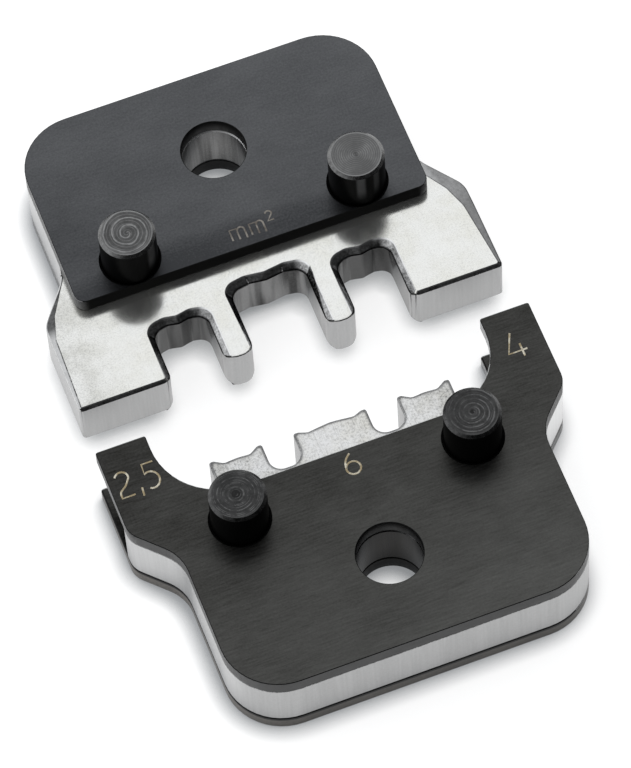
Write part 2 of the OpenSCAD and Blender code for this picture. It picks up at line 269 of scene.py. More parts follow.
# Ground mouths and flats, the broken edges of the blocks, and the bright rim of the screw hole
plainRim = {"grain": 3.0, "depth": 0.0006}
mouthLooks = {
    "groundMouth": {
        "bright": grey(206), "dull": grey(84), "grain": 5.0, "lines": 1.0, "roughness": (0.1, 0.2), "depth": 0.0006,
    },
    "groundFlat": {
        "bright": grey(188), "dull": grey(156), "grain": 4.0, "ridge": 0.6, "roughness": (0.16, 0.24), "depth": 0.0008,
    },
    # The left shoulder's flat: a darker copy of the ground flat as painted shade, turning pale towards the front
    "shadedFlat": {
        "bright": grey(112), "dull": grey(60), "grain": 3.0, "ridge": 0.3, "roughness": (0.2, 0.3), "depth": 0.0008,
        "pale": (9.5, 11.2, grey(196)),
    },
    # The left side's flat: a paler copy of the ground flat, as painted highlight
    "paleFlat": {
        "bright": grey(212), "dull": grey(182), "grain": 3.0, "ridge": 0.8, "roughness": (0.2, 0.3), "depth": 0.0008,
    },
    "brokenRim": {**plainRim, "bright": grey(88), "dull": grey(30), "roughness": (0.18, 0.26)},
    "punchRim": {**plainRim, "bright": grey(176), "dull": grey(96), "roughness": (0.2, 0.3)},
    # The block's broken edge over the plate below: near black, as painted shade in the seam
    "seamRim": {**plainRim, "bright": grey(40), "dull": grey(10), "roughness": (0.3, 0.4)},
    "holeRim": {**plainRim, "bright": grey(250), "dull": grey(214), "roughness": (0.5, 0.6)},
    "upperPinRim": {"grain": 3.0, "bright": grey(132), "dull": grey(84), "roughness": (0.2, 0.3), "depth": 0.0005},
    "lowerPinRim": {"grain": 3.0, "bright": grey(92), "dull": grey(44), "roughness": (0.2, 0.3), "depth": 0.0005},
}
# Heights above the middle of the stack, in millimetres, between which each line comes up
# The foot line is painted shade and the top line a painted highlight
mouthLines = {
    "middle": 4.0, "foot": (2.13, 2.04, grey(12)), "top": (2.38, 2.45, grey(246)), "ridge": (2.45, 2.485, grey(58)),
}


def mouthSteel(name, look):
    material, g = newMaterial(name)
    spot = g.place()
    grain = g.noise(spot, look["grain"], 3.0, 0.7, 0.3)
    cloud = g.noise(spot, 0.9, 3.0, 0.6)
    colour = g.mixed(grain.step(0.3, 0.68) * 0.55 + cloud.step(0.35, 0.65) * 0.45, look["dull"], look["bright"])
    y, z = g.split(spot)[1:]
    if "pale" in look:
        start, end, tone = look["pale"]
        colour = g.mixed(y.step(start, end), tone, colour)
    height = ((z - mouthLines["middle"]) ** 2.0) ** 0.5
    # A mouth ends in a line of painted shade where it meets the wall, and in a painted highlight where it meets the
    # top
    if "lines" in look:
        for line, strength in (("foot", 1.0), ("top", 0.8)):
            start, end, tone = mouthLines[line]
            colour = g.mixed(height.step(start, end) * look["lines"] * strength, colour, tone)
    # A flat has a patchy dark line where it meets the top
    if "ridge" in look:
        start, end, tone = mouthLines["ridge"]
        colour = g.mixed(height.step(start, end) * look["ridge"] * (0.4 + grain.step(0.35, 0.6)), colour, tone)
    low, high = look["roughness"]
    roughness = low + (high - low) * grain.step(0.3, 0.7)
    finishMaterial(g, {"Metallic": 1.0}, colour, roughness, grain, look["depth"])
    return material


# Blackened side plates: brushed along their front edge, clouded, and paler away from one corner as painted light. lean
# is the change of tone for each millimetre from the middle, and a round of painted shade darkens the front (x, y,
# reach x, reach y, share). The punch half's plates are set darker than the nest half's, also as painted shade.
# The nest half's plate edges: near black, as painted shade
upperBlack = {
    "dark": grey(2), "light": grey(7), "streaks": 0.4, "grain": 0.5, "clouds": 0.6,
    "metallic": 0.0, "gloss": 0.03, "roughness": (0.3, 0.45), "depth": 0.002,
}
plainEdge = {
    "streaks": 0.4, "grain": 0.6, "clouds": 0.8,
    "metallic": 0.0, "gloss": 0.3, "roughness": (0.34, 0.46), "depth": 0.002,
}
plateLooks = {
    "upperPlateBlack": {
        "dark": grey((60, 61, 63)), "light": grey((103, 104, 106)), "streaks": 0.12, "grain": 0.7, "clouds": 0.35,
        "lean": (0.004, 0.01), "middle": (0.0, 20.0), "stainAndShade": (-3.0, 11.0, 17.0, 3.2, 0.4),
        "metallic": 1.0, "gloss": 0.5, "roughness": (0.3, 0.36), "depth": 0.0006,
    },
    "lowerPlateBlack": {
        "dark": grey((33, 32, 30)), "light": grey((89, 89, 87)), "streaks": 0.24, "grain": 0.4, "clouds": 0.3,
        "lean": (0.003, -0.014), "middle": (0.0, -16.0), "stainAndShade": (1.0, -12.2, 17.0, 4.6, 0.04),
        "metallic": 1.0, "gloss": 0.5, "roughness": (0.28, 0.36), "depth": 0.0008,
    },
    "upperEdgeBlack": {**upperBlack, "brightened": {"tone": grey(140), "side": (15.2, 16.35), "both": True}},
    "upperFootBlack": {**upperBlack, "brightened": {"tone": grey(184), "side": (15.2, 16.35), "both": True}},
    "lowerEdgeBlack": {**plainEdge, "dark": grey(44), "light": grey(66)},
    # The punch half's bottom plate edge: paler than the other plate edges, as painted light from the table
    "footEdgeBlack": {
        **plainEdge, "dark": grey((112, 108, 104)), "light": grey((148, 143, 138)),
        "brightened": {"tone": grey(222), "side": (13.5, 14.5), "along": (-24, -15), "both": False},
        "seam": (1.0, 1.2, grey(8)),
    },
    "rubbedEdge": {**plainEdge, "dark": grey(150), "light": grey(206), "gloss": 0.4, "roughness": (0.3, 0.4)},
    # Holes and broken edges of the plates: near black, as painted shade round the pins and along the edges
    "rimBlack": {
        "dark": grey(6), "light": grey(26), "streaks": 0.3, "grain": 0.4, "clouds": 0.8,
        "metallic": 0.0, "gloss": 0.15, "roughness": (0.36, 0.5), "depth": 0.001,
    },
}


def blackSteel(name, look):
    material, g = newMaterial(name)
    spot = g.place()
    x, y, z = g.split(spot)
    fine = g.noise(g.place((1.7, 0.18, 1)), 1.0, 4.0, 0.7)
    long = g.noise(g.place((5, 0.5, 1)), 1.0, 3.0, 0.6)
    grain = g.noise(spot, 5.0, 3.0, 0.7)
    cloud = g.noise(g.place((1.5, 1, 1)), 0.2, 3.0, 0.55)
    brushed = fine * 0.75 + long * 0.25
    # Each noise keeps near 0.5, so it is spread before it is added
    share = 0.5 + (brushed - 0.5) * (4.5 * look["streaks"]) + (grain - 0.5) * (1.3 * look["grain"])
    share = share + (cloud - 0.5) * (1.8 * look["clouds"])
    # Painted light: paler away from one corner
    if "lean" in look:
        (middleX, middleY), (leanX, leanY) = look["middle"], look["lean"]
        share = share + (x - middleX) * leanX + (y - middleY) * leanY
    # A darker round of painted shade along the front edge
    if "stainAndShade" in look:
        shadeX, shadeY, reachX, reachY, amount = look["stainAndShade"]
        outX, outY = (x - shadeX) / reachX, (y - shadeY) / reachY
        share = share - (outX * outX + outY * outY).step(1.5, 0.2) * amount
    colour = g.mixed(share, look["dark"], look["light"])
    # An edge is paler on the right side, on the left one too where both is set, and within a stretch of y
    if "brightened" in look:
        brightened = look["brightened"]
        bare = (x.larger(x * -1) if brightened["both"] else x.larger(0.0)).step(*brightened["side"])
        if "along" in brightened:
            bare = bare * y.step(*brightened["along"])
        colour = g.mixed(bare * (0.55 + grain.step(0.3, 0.7) * 0.45), colour, brightened["tone"])
    # A strip of painted shade along the top of the edge, in the seam under the block
    if "seam" in look:
        start, end, seamShade = look["seam"]
        colour = g.mixed(z.step(start, end), colour, seamShade)
    low, high = look["roughness"]
    roughness = low + (high - low) * brushed.step(0.3, 0.7)
    height = brushed * look["streaks"] + grain * 0.5
    fixed = {"Metallic": look["metallic"], "Specular IOR Level": look["gloss"]}
    finishMaterial(g, fixed, colour, roughness, height, look["depth"])
    return material


# A pin side's tone, and the tone of its stripes of painted highlight and the heights from which they rise
pinSide = {"dark": grey(1), "brightened": grey(100), "brightenedFrom": (8.6, 10.6), "gloss": 0.025, "depth": 0.001}


# Dowel pins: a black oiled side with stripes of painted highlight, a bright chamfer, and a turned end worn on its
# ridges
def pinSideSteel(name, look, axis):
    material, g = newMaterial(name)
    x, y, z = g.split(g.place())
    hoops = g.noise(g.joined(0.0, 0.0, z * 7.0), 1.0, 3.0, 0.6)
    blotch = g.noise(g.place((1, 1, 3)), 1.2, 3.0)
    dx, dy = x - axis.x, y - axis.y
    # Each stripe is a painted highlight running up the side, facing one way
    brightened = 0.0
    for angle, halfWidth, strength in look["stripes"]:
        turned, halfTurn = math.radians(angle), math.radians(halfWidth)
        lineUp = (dx * math.cos(turned) + dy * math.sin(turned)) / pinShape["Radius"]
        brightened = brightened + lineUp.step(math.cos(halfTurn), 1.0) * strength
    share = brightened * z.step(*pinSide["brightenedFrom"]) * (0.5 + blotch) + hoops * 0.03
    colour = g.mixed(share, pinSide["dark"], pinSide["brightened"])
    roughness = 0.3 + 0.12 * blotch
    fixed = {"Metallic": 0.0, "Specular IOR Level": pinSide["gloss"]}
    finishMaterial(g, fixed, colour, roughness, hoops, pinSide["depth"])
    return material


def pinEndSteel(name, look, axis):
    material, g = newMaterial(name)
    x, y = g.split(g.place())[:2]
    swirlX, swirlY = look["swirl"]
    dx, dy = x - (axis.x + swirlX), y - (axis.y + swirlY)
    far = (dx * dx + dy * dy) ** 0.5
    turn = dy.angleTo(dx) / math.tau
    wander = g.noise(g.place(), 0.7, 2.0)
    patch = g.noise(g.place(), 1.1, 3.0, 0.6)
    grain = g.noise(g.place(), 7.0, 3.0, 0.6)
    share = 0.12 + patch.step(0.35, 0.7) * 0.18 + (grain - 0.5) * 0.3
    # Each thread is a fine bright line, worn away in patches, and fainter away from one side. turns is 1 for a
    # spiral, 0 for rings.
    gaps = g.noise(g.place(), 1.9, 3.0, 0.6)
    strongestAngle, contrast = look["strongest"]
    faded = 0.5 - 0.5 * (turn * math.tau - math.radians(strongestAngle)).cosine()
    worn = (1 - look["broken"] + look["broken"] * gaps.step(0.4, 0.62)) * (1 - contrast * faded)
    for pitch, turns, width, strength in look["threads"]:
        phase = (far / pitch + turn * turns + wander * look["wander"]).fraction() - 0.5
        line = (phase * phase).step(width * width, 0.0)
        share = share + line * strength * worn
    # A bow-tie of painted highlight: the rings brighter to the left and right of the centre
    bowTie = (dx / far.larger(0.05)) ** 2.0
    share = share * (1 - look["bowTie"] + look["bowTie"] * bowTie * 1.6) + look["bowTie"] * 0.12
    out = ((x - axis.x) ** 2.0 + (y - axis.y) ** 2.0) ** 0.5
    share = share + out.step(2.08, 2.2) * look["rimWear"] - far.step(look["dimple"], 0.0) * 0.6
    colour = g.mixed(share, look["dark"], look["light"])
    roughness = 0.28 + 0.16 * grain
    finishMaterial(g, {"Metallic": look["metallic"]}, colour, roughness, share, 0.004)
    return material


# Numbers burnt into the plate's black
markLooks = {
    "markPale": {"bright": grey((246, 240, 222)), "dull": grey((166, 146, 104))},
    "markBrown": {"bright": grey((164, 158, 150)), "dull": grey((98, 90, 82))},
}


def markMaterial(name, look):
    material, g = newMaterial(name)
    blotch = g.noise(g.place(), 1.3, 3.0, 0.6)
    grain = g.noise(g.place(), 12.0, 2.0)
    colour = g.mixed(blotch.step(0.4, 0.62) * 0.75 + grain * 0.25, look["dull"], look["bright"])
    finishMaterial(g, {"Metallic": 0.3}, colour, 0.45 + 0.2 * grain, grain, 0.003)
    return material


grounds = {name: groundSteel(name, look) for name, look in groundLooks.items()}
cuts = {name: cutSteel(name, look) for name, look in cutLooks.items()}
mouths = {name: mouthSteel(name, look) for name, look in mouthLooks.items()}
blacks = {name: blackSteel(name, look) for name, look in plateLooks.items()}
inks = {name: markMaterial(name, look) for name, look in markLooks.items()}
print("materials made")

# Die blocks and side plates: the CAD shape with its sharp edges broken, more where a block meets the plate below it
edgeLook = {
    "die_block": {"edge": 0.12, "wide": 0.2, "steps": 2},
    "plate": {"edge": 0.07, "wide": 0.14, "steps": 2},
}
# An edge that turns more than sharp is broken, one that turns less than creased is shaded round, both in degrees.
# Corners that lie closer than weld are one, and a corner further than stray off the skin is tucked in, in mm.
edgeRules = {"sharp": 55, "creased": 14, "flat": 0.6, "weld": 0.03, "stray": 0.07}


# A dressed copy of a CAD piece. Its rules give each face its material, each edge its width, and each broken edge's
# face its material.
def brokenEdges(name, look, rules, materials):
    choose, widthAt, rim = rules
    shape = bmesh.new()
    shape.from_mesh(nodes[name].data)
    weld, flat = edgeRules["weld"] * mm, math.radians(edgeRules["flat"])
    bmesh.ops.remove_doubles(shape, verts=shape.verts, dist=weld)  # also the slivers that a bevel would tangle
    bmesh.ops.dissolve_degenerate(shape, dist=weld, edges=shape.edges)
    bmesh.ops.dissolve_limit(shape, angle_limit=flat, verts=shape.verts, edges=shape.edges)
    for face in shape.faces:
        face.smooth = True
        face.material_index = choose(face.normal, face.calc_center_median() / mm)
    share = shape.edges.layers.float.new("bevel_weight_edge")
    for line in shape.edges:
        turn = math.degrees(line.calc_face_angle(0))
        line.smooth = turn < edgeRules["creased"]
        if turn > edgeRules["sharp"]:
            line.smooth = True
            width = widthAt([end.co / mm for end in line.verts]) or look["edge"]
            line[share] = width / look["wide"]
    skin = BVHTree.FromBMesh(shape)
    mesh = bpy.data.meshes.new(name + "_shape")
    shape.to_mesh(mesh)
    shape.free()
    for material in materials:
        mesh.materials.append(material)
    piece = bpy.data.objects.new(name.replace("_", "-") + "-dressed", mesh)
    bpy.context.scene.collection.objects.link(piece)
    broken = len(materials) - 1  # for now, which rim sorts out
    bevel = piece.modifiers.new("broken edge", "BEVEL")
    bevel.width = look["wide"] * mm
    bevel.segments = look["steps"]
    bevel.limit_method = "WEIGHT"
    bevel.use_clamp_overlap = False
    bevel.loop_slide = False
    bevel.material = broken
    settled(piece)
    tuckStrays(piece.data, skin)
    for face in piece.data.polygons:
        if face.material_index == broken:
            face.material_index = rim(face.normal, face.center / mm)
    piece.modifiers.new("even shading", "WEIGHTED_NORMAL").keep_sharp = True
    piece.modifiers.new("triangles", "TRIANGULATE").keep_custom_normals = True
    return settled(piece)


# A bevel throws a corner out where two short edges cross, so a corner off the skin goes to its nearest neighbour on it
def tuckStrays(mesh, skin):
    shape = bmesh.new()
    shape.from_mesh(mesh)
    out = {v for v in shape.verts if skin.find_nearest(v.co)[3] > edgeRules["stray"] * mm}
    print(mesh.name, "corners tucked in:", len(out))
    while out:
        moved = set()
        for corner in out:
            near = [line.other_vert(corner) for line in corner.link_edges if line.other_vert(corner) not in out]
            if near:
                corner.co = min(near, key=lambda v: (v.co - corner.co).length).co
                moved.add(corner)
        if not moved:
            break
        out -= moved
    bmesh.ops.remove_doubles(shape, verts=shape.verts, dist=0.001 * mm)
    shape.to_mesh(mesh)
    shape.free()


# The evaluated object as a plain mesh, with its modifiers gone
def settled(piece):
    graph = bpy.context.evaluated_depsgraph_get()
    graph.update()
    made = bpy.data.meshes.new_from_object(piece.evaluated_get(graph))
    piece.modifiers.clear()
    piece.data = made
    return piece


# Places on the dies, in millimetres: the screw hole in from the rear, the nests' outer wall and their reach along y,
# how far from the middle the plates and the flats begin and the parts that face each other end, the nest half's
# bright front rim and bare left ones, the reach of the opening between the ears, and how close counts as touching
dies = {
    "upperRear": 8.0, "lowerRear": 8.45, "screwRadius": 2.9, "pinRadius": 2.5,
    "nestsOut": 11.095, "nestsFrom": 1.2, "nestsTo": 7.0, "platesFrom": 10.5, "flatsFrom": 14.0, "facingTo": 10.6,
    "frontRim": 12.0, "jawSide": -19.0, "rearSide": -14.5, "openingOut": 15.6, "touch": 0.05,
}
# How much of a normal points along z, for a level face and for one that leans
flatUp, leaning = 0.995, 0.05


def boxOf(name):
    return [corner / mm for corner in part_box(name)]


# The holes of a half as (x, y, radius): the screw hole and the two pins
def holesOf(half):
    low, high = boxOf(half + "_die_block")
    screwY = high.y - dies["upperRear"] if half == "upper" else low.y + dies["lowerRear"]
    holes = [(0.0, screwY, dies["screwRadius"])]
    for side in ("left", "right"):
        pinLow, pinHigh = boxOf(f"{half}_pin_{side}")
        holes.append(((pinLow.x + pinHigh.x) / 2, (pinLow.y + pinHigh.y) / 2, dies["pinRadius"]))
    return holes


def nearHole(spot, holes, spare):
    return any(math.hypot(spot.x - x, spot.y - y) < radius + spare for x, y, radius in holes)


# Whether a line comes near a hole anywhere along its length
def passesHole(ends, holes, spare):
    return any(nearHole(ends[0].lerp(ends[1], i / 8), holes, spare) for i in range(9))


# The block's materials: 0 top, 1 outer wall, 2 mouth, 3 nest wall, 4 wall of a hole, 5 its rim, 6 flat, 7 the left
# shoulder's flat in painted shade, 8 the left side's flat in painted light, 9 broken edge, 10 the same over the plate
# below
def blockRules(half):
    low, high = boxOf(half + "_die_block")
    holes = holesOf(half)
    isUpper = half == "upper"
    sign = 1 if isUpper else -1

    def choose(normal, spot):
        up = abs(normal.z)
        if up > flatUp:
            return 0
        if nearHole(spot, holes, 0.4):
            return 5 if up > leaning else 4
        if up > leaning and abs(spot.x) > dies["flatsFrom"] and normal.y > -0.3:
            return 6 if spot.x > 0 else 7 if normal.y > 0.05 else 8
        if up > leaning:
            return 2
        among = abs(spot.x) < dies["nestsOut"] and low.y + dies["nestsFrom"] < spot.y < low.y + dies["nestsTo"]
        return 3 if isUpper and among else 1

    # Broken wide over the plate below, and along the jaws' long front edges
    def widthAt(ends):
        touch = dies["touch"]
        overPlate = all(abs(end.z - low.z) < touch and end.y * sign > dies["platesFrom"] for end in ends)
        atFront = isUpper and all(end.z > high.z - touch and end.y < low.y + touch for end in ends)
        wide = overPlate and not passesHole(ends, holes, 0.5) or atFront and (ends[0] - ends[1]).length > 5
        return edgeLook["die_block"]["wide"] if wide else None

    # A broken edge at the nests that hardly turns from the top keeps the top's look; a left one takes a painted
    # highlight
    def rim(normal, spot):
        if isUpper and normal.z > 0.7 and abs(spot.x) < dies["frontRim"]:
            return 0
        jawSide = normal.z > 0.2 and spot.x < dies["jawSide"] and spot.y < dies["facingTo"]
        rearSide = normal.x < -0.4 and spot.x < dies["rearSide"] and spot.y > dies["facingTo"]
        if isUpper and (jawSide or rearSide):
            return 8
        return 10 if normal.z < 0 and spot.y * sign > dies["platesFrom"] else 9

    return choose, widthAt, rim


# A plate's materials: 0 face, 1 edge, 2 rubbed edge (round the opening, and outer rims), 3 holes and broken edges,
# in painted shade
def plateRules(half, side):
    high = boxOf(f"{half}_{side}_plate")[1]
    holes = holesOf(half)

    def choose(normal, spot):
        if abs(normal.z) > flatUp:
            return 0
        if nearHole(spot, holes, 0.5):
            return 3
        inOpening = abs(spot.x) < dies["openingOut"] and spot.y > -dies["facingTo"]
        return 2 if half == "lower" and inOpening else 1

    def widthAt(ends):
        overBlock = side == "bottom" and all(abs(end.z - high.z) < dies["touch"] for end in ends)
        return edgeLook["plate"]["wide"] if overBlock and not passesHole(ends, holes, 0.5) else None

    def rim(normal, spot):
        brightened = abs(normal.x) > 0.5 if half == "upper" else normal.x > 0.5 or normal.y > 0.2
        return 2 if brightened and normal.z > 0.1 and not nearHole(spot, holes, 0.5) else 3

    return choose, widthAt, rim


edgeBlacks = {
    "upper_top_plate": "upperEdgeBlack", "upper_bottom_plate": "upperFootBlack",
    "lower_top_plate": "lowerEdgeBlack", "lower_bottom_plate": "footEdgeBlack",
}
blockSteels = {
    "upper": {"bore": cuts["nestBore"], "hole": mouths["holeRim"], "edge": mouths["brokenRim"]},
    "lower": {"bore": cuts["punchBore"], "hole": mouths["brokenRim"], "edge": mouths["punchRim"]},
}
for half, body in bodies.items():
    own = blockSteels[half]
    block = brokenEdges(half + "_die_block", edgeLook["die_block"], blockRules(half), [
        grounds[half + "Ground"], cuts["cutWall"], mouths["groundMouth"], cuts["shadedNestWall"], own["bore"], own["hole"],
        mouths["groundFlat"], mouths["shadedFlat"], mouths["paleFlat"], own["edge"], mouths["seamRim"]])
    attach(block, body)
    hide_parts(half + "_die_block")
    for side in ("top", "bottom"):
        name = f"{half}_{side}_plate"
        plate = brokenEdges(name, edgeLook["plate"], plateRules(half, side), [
            blacks[half + "PlateBlack"], blacks[edgeBlacks[name]], blacks["rubbedEdge"], blacks["rimBlack"]])
        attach(plate, body)
        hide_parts(name)
print("blocks and plates dressed")


def newTree(name, inputs):
    tree = bpy.data.node_groups.new(name, "GeometryNodeTree")
    tree.interface.new_socket("Geometry", in_out="INPUT", socket_type="NodeSocketGeometry")
    for label, kind in inputs:
        tree.interface.new_socket(label, in_out="INPUT", socket_type="NodeSocket" + kind)
    tree.interface.new_socket("Geometry", in_out="OUTPUT", socket_type="NodeSocketGeometry")
    graph = Graph(tree)
    entry = tree.nodes.new("NodeGroupInput")
    return tree, graph, {socket.name: Signal(graph, socket) for socket in entry.outputs if socket.name}


def closeTree(graph, geometry):
    real = graph.add("GeometryNodeRealizeInstances", None, {0: geometry})
    graph.add("NodeGroupOutput", None, {0: real})


def dressedBy(tree, name, mesh, values):
    piece = bpy.data.objects.new(name, mesh)
    bpy.context.scene.collection.objects.link(piece)
    modifier = piece.modifiers.new(tree.name, "NODES")
    modifier.node_group = tree
    for item in tree.interface.items_tree:
        if item.item_type == "SOCKET" and item.in_out == "INPUT" and item.name in values:
            modifier[item.identifier] = values[item.name]
    return settled(piece)


# One dowel pin: a turned end that follows a spiral, a chamfer, and rings of wall below it down to the foot
def pinTree():
    tree, g, given = newTree("dowel pin", [
        ("Radius", "Float"), ("Foot", "Float"), ("Top", "Float"), ("Chamfer", "Float"),
        ("Groove Top", "Float"), ("Groove Height", "Float"), ("Groove Depth", "Float"),
        ("Place X", "Float"), ("Place Y", "Float"),
        ("Swirl X", "Float"), ("Swirl Y", "Float"), ("Pitch", "Float"), ("Ridge", "Float"),
        ("End", "Material"), ("Rim", "Material"), ("Side", "Material"),
    ])
    around, across = 144, 60
    weld, calm = 0.0005 * mm, 0.12 * mm  # calm is where the spiral fades into the chamfer
    square = {"Size X": 1.0, "Size Y": 1.0, "Vertices X": around + 1}
    edge = given["Radius"] - given["Chamfer"]
    # The end is a grid bent round into a disc
    grid = g.add("GeometryNodeMeshGrid", None, {**square, "Vertices Y": across})
    u, v = g.split(g.add("GeometryNodeInputPosition"))[:2]
    angle = (u + 0.5) * math.tau
    out = (v + 0.5) * edge
    x = out * angle.cosine()
    y = out * angle.sine()
    dx = x - given["Swirl X"]
    dy = y - given["Swirl Y"]
    far = (dx * dx + dy * dy) ** 0.5
    wave = ((far / given["Pitch"] + dy.angleTo(dx) / math.tau) * math.tau).cosine()
    fade = (edge - out).step(0.0, calm)
    z = given["Top"] - given["Ridge"] * (0.5 - 0.5 * wave) * fade
    bent = g.add("GeometryNodeSetPosition", None, {"Geometry": grid, "Position": g.joined(x, y, z)})
    welded = g.add("GeometryNodeMergeByDistance", None, {"Geometry": bent, "Distance": weld})
    grooveFoot = given["Groove Top"] - given["Groove Height"]
    neck = given["Radius"] - given["Groove Depth"]
    wall = given["Radius"]
    profile = [
        (edge, given["Top"]), (wall, given["Top"] - given["Chamfer"]), (wall, given["Groove Top"]),
        (neck, given["Groove Top"]), (neck, grooveFoot), (wall, grooveFoot),
        (wall, given["Foot"] + given["Chamfer"]), (edge, given["Foot"]),
    ]
    rings = []
    for (upperR, upperZ), (lowerR, lowerZ) in zip(profile, profile[1:]):
        strip = g.add("GeometryNodeMeshGrid", None, {**square, "Vertices Y": 2})
        u, v = g.split(g.add("GeometryNodeInputPosition"))[:2]
        angle = (u + 0.5) * math.tau
        share = v + 0.5
        radius = upperR + (lowerR - upperR) * share
        spot = g.joined(radius * angle.cosine(), radius * angle.sine(), upperZ + (lowerZ - upperZ) * share)
        rings.append(g.add("GeometryNodeSetPosition", None, {"Geometry": strip, "Position": spot}))
    disc = g.add("GeometryNodeMeshCircle", {"fill_type": "NGON"}, {"Vertices": around, "Radius": edge})
    foot = g.add("GeometryNodeTransform", None, {
        "Geometry": disc, "Translation": g.joined(0.0, 0.0, given["Foot"]), "Rotation": (math.pi, 0, 0)})
    parts = []
    for geometry, finish in ((welded, "End"), (rings[0], "Rim"), (g.together([foot, *rings[1:]]), "Side")):
        parts.append(g.add("GeometryNodeSetMaterial", None, {"Geometry": geometry, "Material": given[finish]}))
    whole = g.add("GeometryNodeMergeByDistance", None, {"Geometry": g.together(parts), "Distance": weld})
    placed = g.add("GeometryNodeTransform", None, {
        "Geometry": whole, "Translation": g.joined(given["Place X"], given["Place Y"], 0.0)})
    closeTree(g, placed)
    return tree


pinShape = {
    "Radius": 2.5, "Foot": 0.15, "Top": 12.4, "Chamfer": 0.25,
    "Groove Top": 8.15, "Groove Height": 0.6, "Groove Depth": 0.2,
}
pinCrease = math.radians(30)
# threads are (pitch, turns, width, strength), the stripes of painted highlight (angle, half width, strength), and the
# angle and contrast of the side towards which threads are strongest; the angles are in degrees
pins = {
    "upper_pin_left": {
        "swirl": (0.02, -0.02), "pitch": 0.74, "ridge": 0.02, "threads": [(0.74, 1, 0.11, 1.0), (0.31, 1, 0.16, 0.4)],
        "wander": 0.5, "bowTie": 0.0, "dimple": 0.1, "rimWear": 0.5, "broken": 0.5, "strongest": (0, 0.0),
        "dark": grey(62), "light": grey(142), "metallic": 0.75, "stripes": [(-52.7, 15, 0.9)],
    },
    "upper_pin_right": {
        "swirl": (0.0, 0.0), "pitch": 0.19, "ridge": 0.005, "threads": [(0.19, 0, 0.25, 0.5)],
        "wander": 0.0, "bowTie": 0.5, "dimple": 0.3, "rimWear": 0.9, "broken": 0.5, "strongest": (0, 0.0),
        "dark": grey(82), "light": grey(134), "metallic": 0.75, "stripes": [(-100.7, 12, 1.0), (-66, 10, 0.45)],
    },
    "lower_pin_left": {
        "swirl": (-0.1, 0.1), "pitch": 0.3, "ridge": 0.003, "threads": [(0.3, 0, 0.14, 0.75), (0.47, 0, 0.1, 0.9)],
        "wander": 0.3, "bowTie": 0.0, "dimple": 0.6, "rimWear": 0.12, "broken": 0.95, "strongest": (-80, 0.45),
        "dark": grey(26), "light": grey(102), "metallic": 0.6, "stripes": [],
    },
    "lower_pin_right": {
        "swirl": (0.05, 0.0), "pitch": 0.42, "ridge": 0.006, "threads": [(0.42, 1, 0.17, 1.1), (0.26, 0, 0.15, 0.4)],
        "wander": 0.5, "bowTie": 0.0, "dimple": 0.3, "rimWear": 0.12, "broken": 0.8, "strongest": (-50, 0.75),
        "dark": grey(25), "light": grey(102), "metallic": 0.6, "stripes": [],
    },
}
turnedPin = pinTree()
for name, look in pins.items():
    low, high = boxOf(name)
    axis = (low + high) / 2
    half, title = name[:5], name.replace("_", "-")
    swirlX, swirlY = look["swirl"]
    values = {key: value * mm for key, value in pinShape.items()}
    values.update({
        "Place X": axis.x * mm, "Place Y": axis.y * mm, "Swirl X": swirlX * mm, "Swirl Y": swirlY * mm,
        "Pitch": look["pitch"] * mm, "Ridge": look["ridge"] * mm,
        "End": pinEndSteel(title + "-end", look, axis), "Rim": mouths[half + "PinRim"],
        "Side": pinSideSteel(title + "-side", look, axis),
    })
    pin = dressedBy(turnedPin, title + "-turned", bpy.data.meshes.new(name), values)
    shape = bmesh.new()
    shape.from_mesh(pin.data)
    bmesh.ops.recalc_face_normals(shape, faces=shape.faces)
    for face in shape.faces:
        face.smooth = True
    for line in shape.edges:
        if len(line.link_faces) == 2 and line.calc_face_angle() > pinCrease:
            line.smooth = False
    shape.to_mesh(pin.data)
    shape.free()
    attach(pin, bodies[half])
    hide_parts(name)
print("pins turned")


# A point of an ellipse, its angle counted in degrees from the right
def bow(cx, cy, rx, ry, start, end, steps=14):
    angles = [math.radians(start + (end - start) * i / steps) for i in range(steps + 1)]
    return [(cx + rx * math.cos(a), cy + ry * math.sin(a)) for a in angles]


# Strokes of the numbers as lists of points on the plate
marks = {
    "marks-sizes": {
        "body": "punch_half", "slot": "blackened_plate", "look": "markPale", "width": 0.18,
        "strokes": [
            bow(-18.62, -6.13, 0.58, 0.56, 160, -25, 16) + [(-18.5, -6.95)]
            + bow(-18.52, -7.72, 0.66, 0.62, 148, 190, 6) + [(-19.2, -8.04), (-18.02, -8.04)],
            [(-15.62, -5.54), (-16.62, -5.54), (-16.68, -6.52)] + bow(-16.3, -7.22, 0.74, 0.82, 118, -118, 20),
            [(-17.28, -7.62), (-17.36, -8.45)],
            bow(0.93, -12.56, 1.46, 1.6, 118, 178, 10) + bow(0.1, -12.56, 0.64, 0.62, 180, 530, 30),
            [(17.25, -5.28), (16.42, -7.22), (18.12, -7.22)],
            [(17.68, -6.52), (17.68, -7.84)],
        ],
    },
    "marks-unit": {
        "body": "nest_half", "slot": "blackened_plate", "look": "markBrown", "width": 0.17,
        "strokes": [
            [(-1.62, 12.32), (-1.62, 13.42), (-0.98, 13.42), (-0.98, 12.26)],
            bow(-0.64, 13.1, 0.33, 0.36, 175, 0, 10) + [(-0.31, 12.2)],
            [(0.18, 12.28), (0.18, 13.42), (0.8, 13.42), (0.8, 12.22)],
            bow(1.12, 13.1, 0.31, 0.36, 175, 0, 10) + [(1.42, 12.16)],
            bow(2.16, 13.83, 0.28, 0.27, 165, -20, 10) + [(1.9, 13.12), (2.46, 13.12)],
        ],
    },
}
markHeight = 0.012


